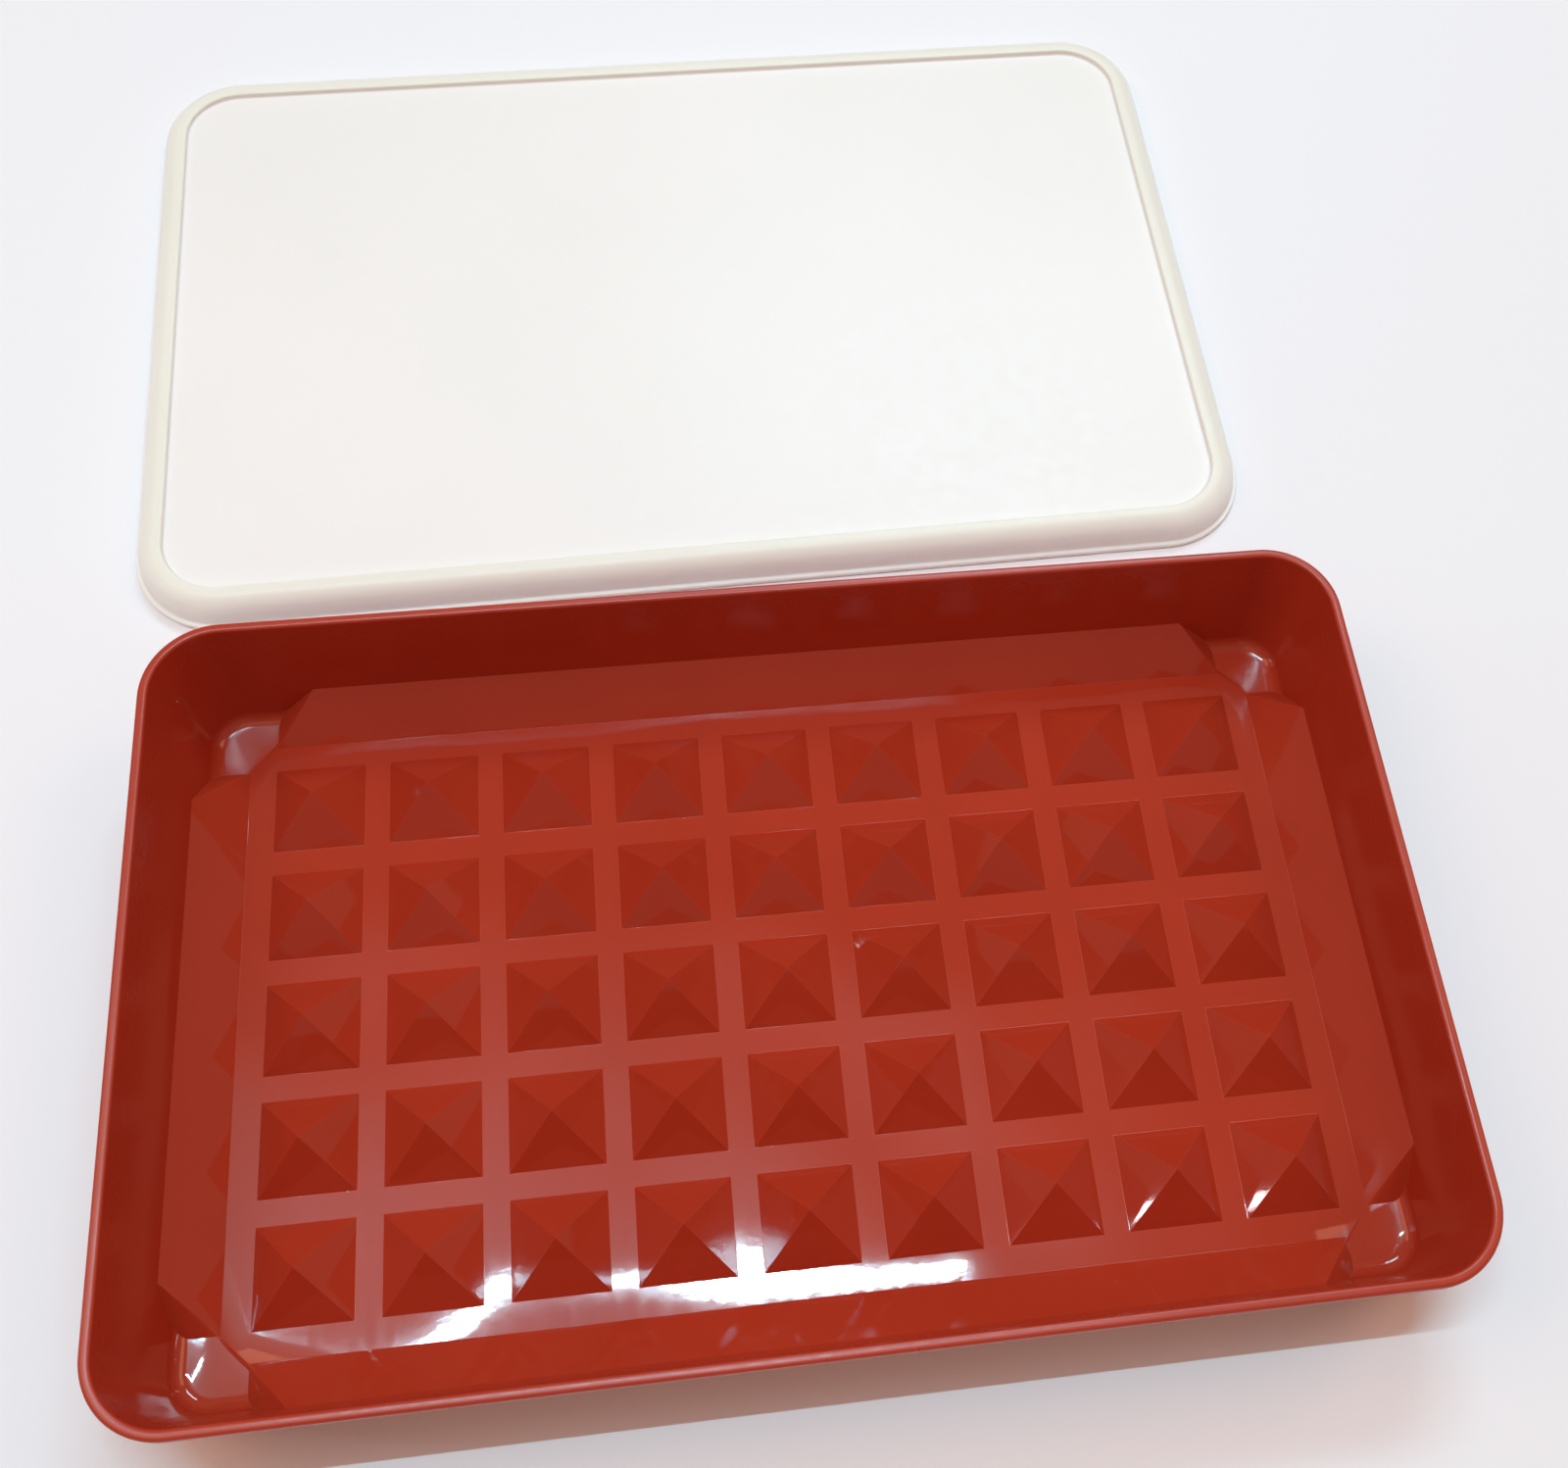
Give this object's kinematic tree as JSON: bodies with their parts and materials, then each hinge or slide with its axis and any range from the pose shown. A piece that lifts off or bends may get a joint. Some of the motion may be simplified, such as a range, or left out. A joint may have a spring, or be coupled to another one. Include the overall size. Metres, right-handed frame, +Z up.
{
  "type": "lidded shallow tray",
  "caption": "Shallow rectangular plastic tray with a rounded rim, a floor of raised pyramids, sloped side ramps and corner feet, with its flat milky press-on lid lying beside it.",
  "frame": {"origin": "centre of the footprint that tray and lid cover together, on the plane both stand on", "axes": "+Z up; +X along the tray's length; +Y across the tray, towards the lid lying beyond it"},
  "size_m": [0.3, 0.3826, 0.0375],
  "materials": {
    "tray_plastic": "glossy opaque paprika red",
    "lid_plastic": "satin milky translucent"
  },
  "bodies": {
    "tray": {"tray": "tray_plastic"},
    "lid": {"lid": "lid_plastic"}
  },
  "joints": [
    {"name": "lid_lift", "type": "slide", "parent": "tray", "child": "lid", "axis": [0, 0, 1], "range_m": [0, 0.09]}
  ]
}
